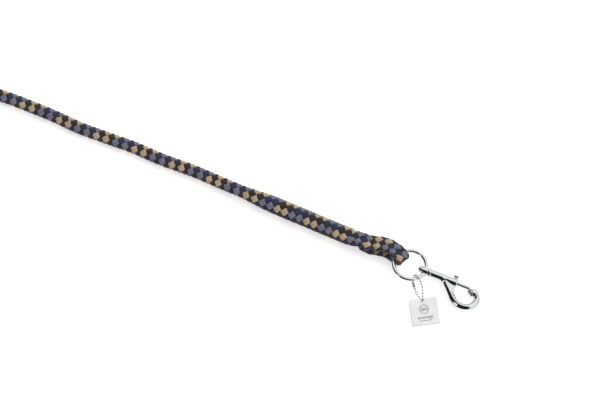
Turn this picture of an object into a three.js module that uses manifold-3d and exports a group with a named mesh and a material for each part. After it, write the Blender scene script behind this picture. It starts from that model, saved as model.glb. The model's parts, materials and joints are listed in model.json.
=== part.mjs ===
// Horse lead rope: a hollow braided rope whose tail is buried in its own braid to form an eye, a swivel ring,
// a bolt snap, and a metal name tag on a ball chain. Millimetres, +Z up, lying on the plane z = 0.
// +X runs along the rope towards the snap. The origin is on the flat underside of the splice, at its mouth.
import * as THREE from 'three';
import { mergeVertices } from 'three/addons/utils/BufferGeometryUtils.js';
import Module from 'manifold-3d';

const wasm = await Module();
wasm.setup();

const GAP = 0.3; // between pieces that touch

// ---- driving dimensions ----
const ROPE_R = 7; // soft braided rope, 14 mm thick
const SPLICE_R = 10; // the same braid opened around its own tail
const SPLICE_SIDES = 16;
const SPLICE_AXIS_Z = SPLICE_R * Math.cos(Math.PI / SPLICE_SIDES); // puts its bottom facet on z = 0
const SPLICE_TURN = THREE.MathUtils.degToRad(-3.3); // the splice leaves the origin 3.3 degrees off the X axis
const THROAT_X = 3; // mouth of the splice, where the eye begins
const SPLICE_LENGTH = 138;
const SPLICE_TAPER = 26;

const EYE_HALF_WIDTH = 9; // the braid flattens where it turns round the ring
const EYE_HALF_THICK = 3.2;
const BIGHT_R = 7.8; // centre line of the bight round the ring's wire, with room for the ring to tilt

const RING_MEAN_R = 18.15;
const RING_WIRE_R = 2.35;
const RING_CENTRE = new THREE.Vector3(62, -7, 10.5);
const PITCH = THREE.MathUtils.degToRad(4.2); // the snap's line falls towards its hook
const RING_ROLL = THREE.MathUtils.degToRad(-5); // the ring's near side stands higher
const EYE_ANGLE = THREE.MathUtils.degToRad(160); // where the eye grips the ring
const CHAIN_ANGLE = THREE.MathUtils.degToRad(-49.6); // where the ball chain hangs on the ring

const BARREL_R = 4.7;
const BARREL_FRONT = 55.7;
const COLLAR_R = 5.5;
const COLLAR_BACK = 21.8;
const BORE_R = 2.5;
const BORE_BACK = 26.3;
const HOOK_R = 4.1;
const BOLT_R = 2.2;
const BOLT_BACK = 49.6;
const BOLT_TIP = 71;
const KNOB_X = 52;
const SLOT_BACK = 37.8; // the knob's stem slides 12.5 mm back from its place near the front
const SLOT_FRONT = 53.7;
const SLOT_WIDTH = 2.9;
const WEB_THICK = 5.6;
const STEM_R = 1.1; // of the thumb knob
const SPRING_COIL_R = 1.75;
const SPRING_WIRE_R = 0.32;
const SPRING_TURNS = 8;
const PIN_R = 1.45;
const PIN_BORE_R = PIN_R + GAP;

const BEAD_R = 1.2;
const LINK_R = 0.35;
const CHAIN_PITCH = 3.175;
const CONNECTOR_LENGTH = 6.4;
const CONNECTOR_BEAD = 14; // the connector grips this bead and the next
const CHAIN_WRAP_R = 4.25; // bead centres round the ring's wire
const BEAD_STEPS = 20; // between the two beads on either side of the tag's edge
const TAG_SIDE = 30.5;
const TAG_THICK = 1;
const TAG_HOLE_R = 1.8;
const TAG_HOLE_INSET = 3;
const TAG_CORNER = 0.8;
const TAG_HEADING = THREE.MathUtils.degToRad(30.8); // of its top edge in plan
const TAG_TILT = THREE.MathUtils.degToRad(7.4); // its top edge lies on the chain
const TAG_HOLE = new THREE.Vector3(89.9, -40, 4.25);

const TIE_THICK = 1.2;
const TIE_WIDTH = 14;
const HANK_LIFT = TIE_THICK + GAP; // the ties pass under the hank
const HANK_CENTRE = new THREE.Vector3(-572, -25, 0);
const HANK_STRAIGHT = 133;
const HANK_STUB = 36; // straight rope in front of the hank
const OUTER_TURN_R = 42.5;
const INNER_TURN_R = 28;
const LAYER_RISE = 12.1; // the upper turn nests between the two lower ones
const WHIPPING_R = 7.6;
const WHIPPING_LENGTH = 24;
const WHIPPING_LIFT = 1.4; // it lies a little higher than the turn that it ends

// ---- colours ----
const finish = (color, roughness, metalness) => (name) =>
  new THREE.MeshStandardMaterial({ name, color, roughness, metalness });
const braid = finish(0x4a4758, 0.95, 0);
const chrome = finish(0xd9dadc, 0.12, 1);
const steel = finish(0xc8c9cb, 0.35, 1);
const cloth = finish(0x1f2024, 0.9, 0);

// ---- helpers ----
function asSolid(geometry) {
  const bare = geometry.index ? geometry.toNonIndexed() : geometry.clone();
  bare.deleteAttribute('normal');
  bare.deleteAttribute('uv');
  const merged = mergeVertices(bare, 1e-4);
  return new wasm.Manifold(new wasm.Mesh({
    numProp: 3,
    vertProperties: new Float32Array(merged.attributes.position.array),
    triVerts: new Uint32Array(merged.index.array),
  }));
}

function asGeometry(solid) {
  const mesh = solid.getMesh();
  const geometry = new THREE.BufferGeometry();
  geometry.setAttribute('position', new THREE.BufferAttribute(mesh.vertProperties, 3));
  geometry.setIndex(new THREE.BufferAttribute(mesh.triVerts, 1));
  return geometry;
}

function piece(name, geometry, material) {
  const mesh = new THREE.Mesh(geometry, material);
  mesh.name = name;
  return mesh;
}

function ellipseSection(halfX, halfY, sides) {
  const points = [];
  for (let i = 0; i < sides; i++) {
    const angle = ((i + 0.5) / sides) * 2 * Math.PI;
    points.push(new THREE.Vector2(halfX * Math.cos(angle), halfY * Math.sin(angle)));
  }
  return new THREE.Shape(points);
}

function sweep(points, section, steps) {
  const path = new THREE.CatmullRomCurve3(points, false, 'centripetal');
  return new THREE.ExtrudeGeometry(section, { steps, extrudePath: path, bevelEnabled: false });
}

// A solid of revolution about X, from [x, radius] pairs.
function turned(profile, sides) {
  const points = profile.map(([x, r]) => new THREE.Vector2(r, x));
  return new THREE.LatheGeometry(points, sides).rotateZ(-Math.PI / 2);
}

function cylinderX(radius, from, to, sides) {
  return turned([[from, 0], [from, radius], [to, radius], [to, 0]], sides);
}

// ---- frames ----
// The snap's own frame: x along its axis from the ring's centre, -y towards the hook's bow.
const snapFrame = new THREE.Group();
snapFrame.position.copy(RING_CENTRE);
snapFrame.rotation.y = PITCH;
const ringFrame = new THREE.Group();
ringFrame.rotation.x = RING_ROLL;
snapFrame.add(ringFrame);
snapFrame.updateMatrixWorld(true);

const onRing = (angle) => new THREE.Vector3(Math.cos(angle), Math.sin(angle), 0).multiplyScalar(RING_MEAN_R)
  .applyMatrix4(ringFrame.matrixWorld);

// ---- rope ----
const spliceDirection = new THREE.Vector3(-Math.cos(SPLICE_TURN), -Math.sin(SPLICE_TURN), 0);
const spliceMouth = new THREE.Vector3(THROAT_X, 0, SPLICE_AXIS_Z);
const alongSplice = (distance) => spliceMouth.clone().addScaledVector(spliceDirection, distance);

function spliceFrame() {
  const frame = new THREE.Group();
  frame.position.copy(spliceMouth);
  frame.rotation.z = Math.PI + SPLICE_TURN; // local x runs back along the rope
  return frame;
}

// The braid is hollow: its wall opens round the buried tail and closes down to the bare rope behind it.
function spliceSleeve() {
  const tail = ROPE_R + GAP;
  const profile = [
    [0, tail], [0, 9.2], [1.2, SPLICE_R], [SPLICE_LENGTH - SPLICE_TAPER, SPLICE_R],
    [SPLICE_LENGTH - 10, 8.4], [SPLICE_LENGTH, ROPE_R + 0.2], [SPLICE_LENGTH, 2.2],
    [SPLICE_LENGTH - 8, 4.4], [SPLICE_LENGTH - 26, tail], [0, tail],
  ];
  const facetDown = new THREE.Matrix4().makeRotationX(Math.PI / SPLICE_SIDES);
  return turned(profile, SPLICE_SIDES).applyMatrix4(facetDown);
}

// The tail inside the splice is cut on the slant so that the splice tapers.
function buriedTail() {
  const end = SPLICE_LENGTH - 28;
  return turned([[2, 0], [2, ROPE_R - 0.1], [end - 16, ROPE_R - 0.1], [end, 3.2], [end, 0]], SPLICE_SIDES);
}

function eyeLoop() {
  const grip = onRing(EYE_ANGLE);
  const heading = new THREE.Vector3(-Math.cos(EYE_ANGLE), -Math.sin(EYE_ANGLE), 0).normalize();
  const bight = (turn) => grip.clone()
    .addScaledVector(heading, BIGHT_R * Math.sin(turn))
    .add(new THREE.Vector3(0, 0, BIGHT_R * Math.cos(turn)));
  const mouth = THROAT_X + 2 * GAP;
  const upper = [[mouth, 0, 14.6], [mouth + 5, -0.3, 14.7], [mouth + 13, 1, 15.4], [mouth + 22, 2.6, 16.5],
    [mouth + 30, 2.6, 17.7]];
  const lower = [[mouth + 30, 2.6, 4.05], [mouth + 22, 2.6, 4], [mouth + 13, 1, 4],
    [mouth + 5, -0.3, 4.3], [mouth, 0, 4.4]];
  const turns = [0, 0.2, 0.4, 0.6, 0.8, 1].map((part) => bight(part * Math.PI));
  const points = [
    ...upper.map((p) => new THREE.Vector3(...p)), ...turns, ...lower.map((p) => new THREE.Vector3(...p)),
  ];
  // The sweep lays the section's x along the thickness here, because the path starts level.
  return sweep(points, ellipseSection(EYE_HALF_THICK, EYE_HALF_WIDTH, 14), 44);
}

const HANK_ENTRY_Y = HANK_CENTRE.y + OUTER_TURN_R;
const HANK_STUB_X = HANK_CENTRE.x + HANK_STRAIGHT / 2 + HANK_STUB;

// The stretch that isn't wound up, from the splice to the hank.
function ropeRun() {
  const route = [
    [-175, 11.4, 7.6], [-205, 13.5, 7], [-240, 13.5, 7], [-275, 15.8, 7], [-310, 15.8, 7], [-340, 16, 7],
    [-375, 19.2, 7], [-410, 20.7, 7], [-433, 20.6, 7.6],
  ].map((p) => new THREE.Vector3(...p));
  const start = [alongSplice(SPLICE_LENGTH + GAP), alongSplice(SPLICE_LENGTH + 14)];
  const end = [16, 2 * GAP].map((before) =>
    new THREE.Vector3(HANK_STUB_X + before, HANK_ENTRY_Y, ROPE_R + HANK_LIFT));
  return sweep([...start, ...route, ...end], ellipseSection(ROPE_R, ROPE_R, 10), 14);
}

function roundedSlab(halfStraight, outerR, innerR, from, to) {
  const outline = (shape, r) => {
    shape.moveTo(-halfStraight, -r);
    shape.lineTo(halfStraight, -r);
    shape.absarc(halfStraight, 0, r, -Math.PI / 2, Math.PI / 2, false);
    shape.lineTo(-halfStraight, r);
    shape.absarc(-halfStraight, 0, r, Math.PI / 2, 1.5 * Math.PI, false);
    return shape;
  };
  const slab = outline(new THREE.Shape(), outerR);
  slab.holes.push(outline(new THREE.Path(), innerR));
  const options = { depth: to - from, bevelEnabled: false, curveSegments: 14 };
  return new THREE.ExtrudeGeometry(slab, options).translate(0, 0, from);
}

// Outer shape of the wound rope: two turns side by side, and one that lies on them.
const HANK_TOP = HANK_LIFT + ROPE_R + LAYER_RISE + ROPE_R;
const UPPER_TURN_R = (OUTER_TURN_R + INNER_TURN_R) / 2;
const WHIPPING_START = HANK_STRAIGHT / 2 - 14; // along the near side of the upper turn
const WHIPPING_Z = HANK_LIFT + ROPE_R + LAYER_RISE + WHIPPING_LIFT;
const lowerTop = HANK_LIFT + 2 * ROPE_R;

function ropeHank() {
  const half = HANK_STRAIGHT / 2;
  const lower = asSolid(roundedSlab(half, OUTER_TURN_R + ROPE_R, INNER_TURN_R - ROPE_R, HANK_LIFT, lowerTop));
  const upper = asSolid(
    roundedSlab(half, UPPER_TURN_R + ROPE_R, UPPER_TURN_R - ROPE_R, lowerTop - 1, HANK_TOP));
  // The upper turn stops short, so that the whipped end has room beside it.
  const [spaceX, spaceY, spaceZ] = [140, 80, 30];
  const endSpace = asSolid(new THREE.BoxGeometry(spaceX, spaceY, spaceZ)
    .translate(WHIPPING_START + spaceX / 2, 6 - spaceY / 2, lowerTop + GAP + spaceZ / 2));
  const stub = asSolid(cylinderX(ROPE_R, half - 4, half + HANK_STUB, 10)
    .translate(0, OUTER_TURN_R, ROPE_R + HANK_LIFT));
  const groove = asSolid(cylinderX(WHIPPING_R + GAP, WHIPPING_START, half + OUTER_TURN_R + ROPE_R, 14)
    .translate(0, -UPPER_TURN_R, WHIPPING_Z));
  return asGeometry(lower.add(upper.subtract(endSpace)).subtract(groove).add(stub));
}

function endWhipping() {
  const end = WHIPPING_START + GAP + WHIPPING_LENGTH;
  const start = WHIPPING_START + GAP;
  return turned([
    [start, 0], [start, WHIPPING_R - 0.5], [start + 1, WHIPPING_R], [end - 1, WHIPPING_R],
    [end, WHIPPING_R - 0.5], [end, 0],
  ], 14);
}

function fusedTip() {
  const start = WHIPPING_START + 2 * GAP + WHIPPING_LENGTH;
  return turned([[start, 0], [start, 6.8], [start + 2.5, 6.4], [start + 4.6, 4.6], [start + 5.4, 0]], 14);
}

// A tie goes round one side of the hank, through its middle.
function hankTie() {
  const near = INNER_TURN_R - ROPE_R - GAP;
  const far = OUTER_TURN_R + ROPE_R + GAP;
  const topNear = UPPER_TURN_R - ROPE_R - GAP;
  const topFar = UPPER_TURN_R + ROPE_R + GAP;
  const shoulder = lowerTop + GAP;
  const loop = (shape, t) => {
    shape.moveTo(near - t, HANK_LIFT - GAP - t);
    shape.lineTo(far + t, HANK_LIFT - GAP - t);
    shape.lineTo(far + t, shoulder + t);
    shape.lineTo(topFar + t, HANK_TOP + GAP + t);
    shape.lineTo(topNear - t, HANK_TOP + GAP + t);
    shape.lineTo(near - t, shoulder + t);
    shape.closePath();
    return shape;
  };
  const band = loop(new THREE.Shape(), TIE_THICK);
  band.holes.push(loop(new THREE.Path(), 0));
  return new THREE.ExtrudeGeometry(band, { depth: TIE_WIDTH, bevelEnabled: false })
    .translate(0, 0, -TIE_WIDTH / 2)
    .rotateX(Math.PI / 2)
    .rotateZ(Math.PI / 2);
}

// ---- ring and snap, in the snap's frame ----
function swivelRing() {
  const wire = asSolid(new THREE.TorusGeometry(RING_MEAN_R, RING_WIRE_R, 12, 48));
  const boss = asSolid(turned([
    [13.6, 0], [13.6, 3.4], [15, 4.3], [20, 4.3], [COLLAR_BACK - 0.4, 3.6], [COLLAR_BACK - 0.4, 0],
  ], 18));
  const hole = asSolid(cylinderX(PIN_BORE_R, 10, 26, 16));
  return asGeometry(wire.add(boss).subtract(hole));
}

function swivelPin() {
  const head = 13.3;
  return turned([
    [10.8, 0], [11.1, 1.7], [12, 2.9], [head, 3.3], [head, PIN_R], [24.2, PIN_R], [24.2, 0],
  ], 16);
}

const HOOK_LINE = [
  [37, -0.5], [42.8, -4.2], [53.1, -14.3], [59.3, -20.1], [66.8, -23.6], [75, -22.4], [80.6, -17.8],
  [82.7, -11.6], [81.3, -6.4], [77.4, -3.2],
];

function snapBody() {
  const barrel = asSolid(turned([
    [COLLAR_BACK, 0], [COLLAR_BACK, COLLAR_R - 0.6], [COLLAR_BACK + 0.6, COLLAR_R], [24.4, COLLAR_R],
    [25.2, BARREL_R], [BARREL_FRONT - 0.8, BARREL_R], [BARREL_FRONT, BARREL_R - 0.8], [BARREL_FRONT, 0],
  ], 20));
  const hook = asSolid(sweep(HOOK_LINE.map(([x, y]) => new THREE.Vector3(x, y, 0)),
    ellipseSection(HOOK_R, HOOK_R, 12), 30));
  const web = new THREE.Shape();
  web.moveTo(38, -1);
  web.lineTo(BARREL_FRONT - 0.6, -1);
  web.lineTo(BARREL_FRONT - 0.2, -8.4);
  web.quadraticCurveTo(56.6, -12, 60.5, -15.4);
  web.lineTo(57, -18);
  web.closePath();
  const plate = asSolid(new THREE.ExtrudeGeometry(web, { depth: WEB_THICK, bevelEnabled: false })
    .translate(0, 0, -WEB_THICK / 2));
  const tip = asSolid(new THREE.SphereGeometry(1, 16, 12).scale(6, 4.9, 4.6).translate(75.4, -3.3, 0));
  const bore = asSolid(cylinderX(BORE_R, BORE_BACK, 72, 16));
  const socket = asSolid(new THREE.SphereGeometry(1, 14, 10).scale(3.5, 4, 3.3).translate(72.6, -6.6, 2.4));
  const slot = asSolid(new THREE.BoxGeometry(SLOT_FRONT - SLOT_BACK, 8, SLOT_WIDTH)
    .translate((SLOT_FRONT + SLOT_BACK) / 2, 4, 0));
  const pinHole = asSolid(cylinderX(PIN_BORE_R, 20, 24.5, 16));
  return asGeometry(barrel.add(hook).add(plate).add(tip)
    .subtract(bore).subtract(socket).subtract(slot).subtract(pinHole));
}

function bolt() {
  const rod = asSolid(turned([
    [BOLT_BACK, 0], [BOLT_BACK, BOLT_R - 0.3], [BOLT_BACK + 0.3, BOLT_R], [BOLT_TIP - 1.2, BOLT_R],
    [BOLT_TIP - 0.3, 1.4], [BOLT_TIP, 0],
  ], 16));
  const seat = asSolid(new THREE.CylinderGeometry(STEM_R + GAP, STEM_R + GAP, 4, 12).translate(KNOB_X, 2, 0));
  return asGeometry(rod.subtract(seat));
}

function thumbKnob() {
  const profile = [
    [0, GAP], [STEM_R, GAP], [STEM_R, 6.1], [3, 6.2], [3.5, 6.8], [3.2, 7.7], [2, 8.2], [0, 8.3],
  ];
  const points = profile.map(([r, y]) => new THREE.Vector2(r, y));
  return new THREE.LatheGeometry(points, 16).translate(KNOB_X, 0, 0);
}

function boltSpring() {
  const perTurn = 10;
  const from = BORE_BACK + 0.7;
  const to = BOLT_BACK - 0.7;
  const points = [];
  const steps = SPRING_TURNS * perTurn;
  for (let i = 0; i <= steps; i++) {
    const angle = (i / perTurn) * 2 * Math.PI;
    const x = from + ((to - from) * i) / steps;
    points.push(new THREE.Vector3(x, SPRING_COIL_R * Math.cos(angle), SPRING_COIL_R * Math.sin(angle)));
  }
  return sweep(points, ellipseSection(SPRING_WIRE_R, SPRING_WIRE_R, 5), steps);
}

// ---- ball chain and tag, in world millimetres ----
const edgeAlong = new THREE.Vector3(Math.cos(TAG_HEADING), Math.sin(TAG_HEADING), 0);
const tagUp = new THREE.Vector3(-Math.sin(TAG_HEADING), Math.cos(TAG_HEADING), 0)
  .multiplyScalar(Math.cos(TAG_TILT)).add(new THREE.Vector3(0, 0, Math.sin(TAG_TILT)));
const tagNormal = new THREE.Vector3().crossVectors(edgeAlong, tagUp);
const EDGE_TURN = THREE.MathUtils.degToRad(65); // the chain bends round the tag's edge

function beadCentres() {
  const beside = (side) => TAG_HOLE.clone()
    .addScaledVector(tagUp, CHAIN_PITCH * Math.cos(EDGE_TURN))
    .addScaledVector(tagNormal, side * CHAIN_PITCH * Math.sin(EDGE_TURN));
  const hub = onRing(CHAIN_ANGLE);
  const out = new THREE.Vector3(Math.cos(CHAIN_ANGLE), Math.sin(CHAIN_ANGLE), 0);
  const across = new THREE.Vector3(-Math.sin(CHAIN_ANGLE), Math.cos(CHAIN_ANGLE), 0);
  const at = (r, t, z) => hub.clone().addScaledVector(out, r).addScaledVector(across, t)
    .add(new THREE.Vector3(0, 0, z));
  const wrap = [-0.1, 0.25, 0.5, 0.75, 1.1].map((part) => {
    const turn = part * Math.PI;
    const spread = 2.6 - 5.2 * part;
    return at(-CHAIN_WRAP_R * Math.sin(turn), spread, CHAIN_WRAP_R * Math.cos(turn));
  });
  const points = [
    beside(1), at(19.2, 2, -2.6), at(12, 3.7, -0.3), at(5.5, 3.6, 2.4), ...wrap,
    at(6, -3.3, -6.4), at(12.5, -2.8, -9.1), at(19, -1.4, -9.7), beside(-1),
  ];
  const path = new THREE.CatmullRomCurve3(points, false, 'centripetal');
  path.arcLengthDivisions = 2000;
  return [TAG_HOLE.clone(), ...path.getSpacedPoints(BEAD_STEPS)];
}

// A hollow ball with the short link that joins it to the next one.
function bead(pitch) {
  const profile = [[0, -BEAD_R]];
  for (const degrees of [-54, -18, 18, 54]) {
    const angle = THREE.MathUtils.degToRad(degrees);
    profile.push([BEAD_R * Math.cos(angle), BEAD_R * Math.sin(angle)]);
  }
  const linkStart = Math.sqrt(BEAD_R ** 2 - LINK_R ** 2);
  const linkEnd = pitch - BEAD_R - GAP;
  profile.push([LINK_R, linkStart], [LINK_R, linkEnd], [0, linkEnd]);
  return new THREE.LatheGeometry(profile.map(([r, y]) => new THREE.Vector2(r, y)), 8);
}

function aim(mesh, from, to) {
  mesh.position.copy(from);
  mesh.quaternion.setFromUnitVectors(new THREE.Vector3(0, 1, 0), to.clone().sub(from).normalize());
  return mesh;
}

function chainConnector() {
  const inner = BEAD_R + GAP;
  const outer = inner + 0.4;
  const half = CONNECTOR_LENGTH / 2;
  const profile = [[inner, -half], [outer, -half], [outer, half], [inner, half], [inner, -half]];
  return new THREE.LatheGeometry(profile.map(([r, y]) => new THREE.Vector2(r, y)), 12);
}

function nameTag() {
  const half = TAG_SIDE / 2;
  const inset = half - TAG_CORNER;
  const plate = new THREE.Shape([
    [-inset, -half], [inset, -half], [half, -inset], [half, inset],
    [inset, half], [-inset, half], [-half, inset], [-half, -inset],
  ].map(([x, y]) => new THREE.Vector2(x, y)));
  const hole = new THREE.Path();
  hole.absarc(0, half - TAG_HOLE_INSET, TAG_HOLE_R, 0, 2 * Math.PI, true);
  plate.holes.push(hole);
  const options = { depth: TAG_THICK, bevelEnabled: false, curveSegments: 16 };
  const geometry = new THREE.ExtrudeGeometry(plate, options);
  geometry.translate(0, TAG_HOLE_INSET - half, -TAG_THICK / 2);
  return geometry.applyMatrix4(new THREE.Matrix4().makeBasis(edgeAlong, tagUp, tagNormal));
}

// ---- assembly ----
const leadRope = new THREE.Group();
leadRope.add(snapFrame);

const splice = spliceFrame();
splice.add(piece('splice_sleeve', spliceSleeve(), braid('braid')));
splice.add(piece('buried_tail', buriedTail(), braid('braid')));
leadRope.add(splice);
leadRope.add(piece('eye_loop', eyeLoop(), braid('braid')));
leadRope.add(piece('rope_run', ropeRun(), braid('braid')));

const hank = new THREE.Group();
hank.position.copy(HANK_CENTRE);
hank.add(piece('rope_hank', ropeHank(), braid('braid')));
for (const [name, geometry] of [['end_whipping', endWhipping()], ['fused_tip', fusedTip()]]) {
  const part = piece(name, geometry, cloth('whipping'));
  part.position.set(0, -UPPER_TURN_R, WHIPPING_Z);
  hank.add(part);
}
for (const [name, turn] of [['hank_tie_far', 0], ['hank_tie_near', Math.PI]]) {
  const tie = piece(name, hankTie(), cloth('tie'));
  tie.rotation.z = turn;
  hank.add(tie);
}
leadRope.add(hank);

ringFrame.add(piece('swivel_ring', swivelRing(), chrome('chrome')));
snapFrame.add(piece('swivel_pin', swivelPin(), chrome('chrome')));
snapFrame.add(piece('snap_body', snapBody(), chrome('chrome')));
snapFrame.add(piece('bolt', bolt(), chrome('chrome')));
snapFrame.add(piece('thumb_knob', thumbKnob(), chrome('chrome')));
snapFrame.add(piece('bolt_spring', boltSpring(), steel('spring_steel')));

const centres = beadCentres();
centres.forEach((centre, i) => {
  const next = centres[(i + 1) % centres.length];
  const number = String(i + 1).padStart(2, '0');
  const ball = piece(`chain_bead_${number}`, bead(centre.distanceTo(next)), steel('chain_steel'));
  leadRope.add(aim(ball, centre, next));
});
const clasped = [centres[CONNECTOR_BEAD], centres[CONNECTOR_BEAD + 1]];
const connector = piece('chain_connector', chainConnector(), chrome('chain_steel'));
leadRope.add(aim(connector, clasped[0].clone().lerp(clasped[1], 0.5), clasped[1]));

const tag = piece('name_tag', nameTag(), steel('brushed_tag'));
tag.position.copy(TAG_HOLE);
leadRope.add(tag);

export default leadRope;
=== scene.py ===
import json
import math

import bpy
import numpy as np
from mathutils import Matrix, Vector


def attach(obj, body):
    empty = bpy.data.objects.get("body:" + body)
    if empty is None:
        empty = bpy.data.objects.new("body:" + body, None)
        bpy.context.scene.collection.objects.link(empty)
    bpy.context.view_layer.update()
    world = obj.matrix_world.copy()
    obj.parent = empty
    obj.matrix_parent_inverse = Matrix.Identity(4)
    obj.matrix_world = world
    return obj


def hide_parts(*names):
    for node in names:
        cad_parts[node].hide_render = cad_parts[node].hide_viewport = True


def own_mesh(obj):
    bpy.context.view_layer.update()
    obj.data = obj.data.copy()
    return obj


# The lead rope's looks: every fibre strand of the braid, the polished castings, the ball chain, the tag and
# the storage ties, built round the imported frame. Lengths are millimetres in the builders and metres in
# Blender.
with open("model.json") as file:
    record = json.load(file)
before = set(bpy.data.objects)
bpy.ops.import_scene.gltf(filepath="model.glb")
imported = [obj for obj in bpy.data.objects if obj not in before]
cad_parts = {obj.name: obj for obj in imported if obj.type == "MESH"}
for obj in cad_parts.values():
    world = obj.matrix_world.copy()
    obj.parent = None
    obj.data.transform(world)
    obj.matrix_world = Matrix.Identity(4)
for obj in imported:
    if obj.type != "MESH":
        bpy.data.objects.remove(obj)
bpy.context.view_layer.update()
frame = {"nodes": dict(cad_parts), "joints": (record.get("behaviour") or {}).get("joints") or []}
MM = 0.001

# ---- driving dimensions, as in the part's source ----
SPLICE_HEADING = math.radians(3.3)
THROAT_X = 3.0
SPLICE_LENGTH = 138.0
SPLICE_AXIS_Z = 9.808
ROPE_R = 7.0
EYE_ANGLE = math.radians(160)
BIGHT_R = 7.8
RING_MEAN_R = 18.15
RING_WIRE_R = 2.35
RING_ROLL = math.radians(-5)
BARREL_R = 4.7
BARREL_FRONT = 55.7
COLLAR_R = 5.5
COLLAR_BACK = 21.8
BORE_R = 2.5
BORE_BACK = 26.3
HOOK_R = 4.1
BOLT_R = 2.2
BOLT_BACK = 49.6
BOLT_TIP = 71.0
KNOB_X = 52.0
SLOT_BACK = 37.8
SLOT_FRONT = 53.7
PIN_R = 1.45
HANK_CENTRE = np.array([-572.0, -25.0, 0.0])
HANK_HALF = 66.5
OUTER_TURN_R = 42.5
INNER_TURN_R = 28.0
UPPER_TURN_R = 35.25
LOWER_Z = 8.5
UPPER_Z = 20.6
WHIPPING_R = 7.6
WHIPPING_START = 52.8
WHIPPING_END = 76.8
WHIPPING_Z = 22.0


# ---- small helpers ----
def unit(v):
    return v / np.linalg.norm(v, axis=-1, keepdims=True)


def smooth_step(low, high, x):
    t = np.clip((x - low) / (high - low), 0, 1)
    return t * t * (3 - 2 * t)


def joint(name):
    return next(j for j in frame["joints"] if j["name"] == name)


def snap_frame():
    """The snap's own frame: x along its axis from the ring's centre, -y towards the hook's bow, in metres."""
    turn = joint("swivel")
    x = -Vector(turn["axis"]).normalized()
    y = Vector((0, 1, 0))
    z = x.cross(y)
    rows = Matrix((x, y, z)).transposed().to_4x4()
    return Matrix.Translation(turn["pos_m"]) @ rows


SNAP = snap_frame()
RING = SNAP @ Matrix.Rotation(RING_ROLL, 4, "X")


def placed(points, matrix):
    """Millimetres in a local frame, as metres in the row frame."""
    m = np.array(matrix)
    return points * MM @ m[:3, :3].T + m[:3, 3]


def piece(name, points, faces, materials, body, replaces=(), which=None, uv=None, normals=None):
    """A new piece from points in metres and faces, riding on a body."""
    mesh = bpy.data.meshes.new(name)
    mesh.from_pydata(points.tolist(), [], [list(map(int, f)) for f in faces])
    for material in materials:
        mesh.materials.append(material)
    if which is not None:
        mesh.polygons.foreach_set("material_index", np.asarray(which, np.int32))
    if uv is not None:
        layer = mesh.uv_layers.new(name="strand")
        layer.data.foreach_set("uv", np.asarray(uv, np.float32).ravel())
    mesh.polygons.foreach_set("use_smooth", np.ones(len(mesh.polygons), bool))
    mesh.update()
    if normals is not None:
        mesh.normals_split_custom_set_from_vertices(normals.tolist())
    made = bpy.data.objects.new(name, mesh)
    bpy.context.scene.collection.objects.link(made)
    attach(made, body)
    if replaces:
        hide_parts(*replaces)
    return made


# ---- curves ----
def through(points, step):
    """A centripetal Catmull-Rom curve through the points, with points a step apart."""
    p = np.array(points, float)
    p = np.vstack([2 * p[0] - p[1], p, 2 * p[-1] - p[-2]])
    fine = []
    for i in range(1, len(p) - 2):
        a, b, c, d = p[i - 1], p[i], p[i + 1], p[i + 2]
        ab, bc, cd = (max(np.linalg.norm(v), 1e-9) ** 0.5 for v in (b - a, c - b, d - c))
        m1 = bc * ((b - a) / ab - (c - a) / (ab + bc) + (c - b) / bc)
        m2 = bc * ((c - b) / bc - (d - b) / (bc + cd) + (d - c) / cd)
        t = np.linspace(0, 1, 24, endpoint=False)[:, None]
        fine.append((2 * t**3 - 3 * t**2 + 1) * b + (t**3 - 2 * t**2 + t) * m1
                    + (3 * t**2 - 2 * t**3) * c + (t**3 - t**2) * m2)
    return spaced(np.vstack([*fine, p[-2][None]]), step)


def spaced(line, step):
    along = measured(line)
    at = np.linspace(0, along[-1], max(2, round(along[-1] / step)) + 1)
    return np.stack([np.interp(at, along, line[:, k]) for k in range(3)], axis=1)


def measured(line):
    return np.concatenate([[0], np.cumsum(np.linalg.norm(np.diff(line, axis=0), axis=1))])


def softened(line, rounds):
    """The line with its corners eased, its two ends fixed."""
    for _ in range(rounds):
        line = np.vstack([line[:1], (line[:-2] + 2 * line[1:-1] + line[2:]) / 4, line[-1:]])
    return line


# ---- the rope's route ----
def along_splice(distance, side=0.0, z=SPLICE_AXIS_Z):
    x = THROAT_X - distance * math.cos(SPLICE_HEADING)
    return [x, distance * math.sin(SPLICE_HEADING) + side, z]


def bight_points():
    """Round the ring's wire, from under it to over it."""
    grip = np.array(joint("eye_hinge")["pos_m"]) / MM
    heading = np.array([-math.cos(EYE_ANGLE), -math.sin(EYE_ANGLE), 0])
    turns = math.pi * np.array([1, 0.8, 0.6, 0.4, 0.2, 0])
    return [grip + BIGHT_R * (heading * math.sin(t) + np.array([0, 0, math.cos(t)])) for t in turns]


def eye_route():
    """From the tail's cut end inside the splice, round the ring and back to the splice's axis."""
    lower = [[3.6, 0, 4.4], [8.6, -0.3, 4.3], [16.6, 1, 4], [25.6, 2.6, 4], [33.6, 2.6, 4.05]]
    upper = [[33.6, 2.6, 17.7], [25.6, 2.6, 16.5], [16.6, 1, 15.4], [8.6, -0.3, 14.7], [3.6, 0, 14.6]]
    inside = [along_splice(d) for d in (110, 85, 60, 35, 20)]
    return [*inside, along_splice(8, 0, 7.2), *lower, *bight_points(), *upper,
            along_splice(7, 0, 11.8), along_splice(16, 0, 10.2)]


def run_route():
    return [
        along_splice(30), along_splice(50), along_splice(75), along_splice(100), along_splice(122),
        along_splice(138.3), along_splice(152), [-175, 11.4, 7.6], [-205, 13.5, 7], [-240, 13.5, 7],
        [-275, 15.8, 7], [-310, 15.8, 7], [-340, 16, 7], [-375, 19.2, 7], [-410, 20.7, 7], [-433, 20.6, 7.6],
    ]


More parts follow.
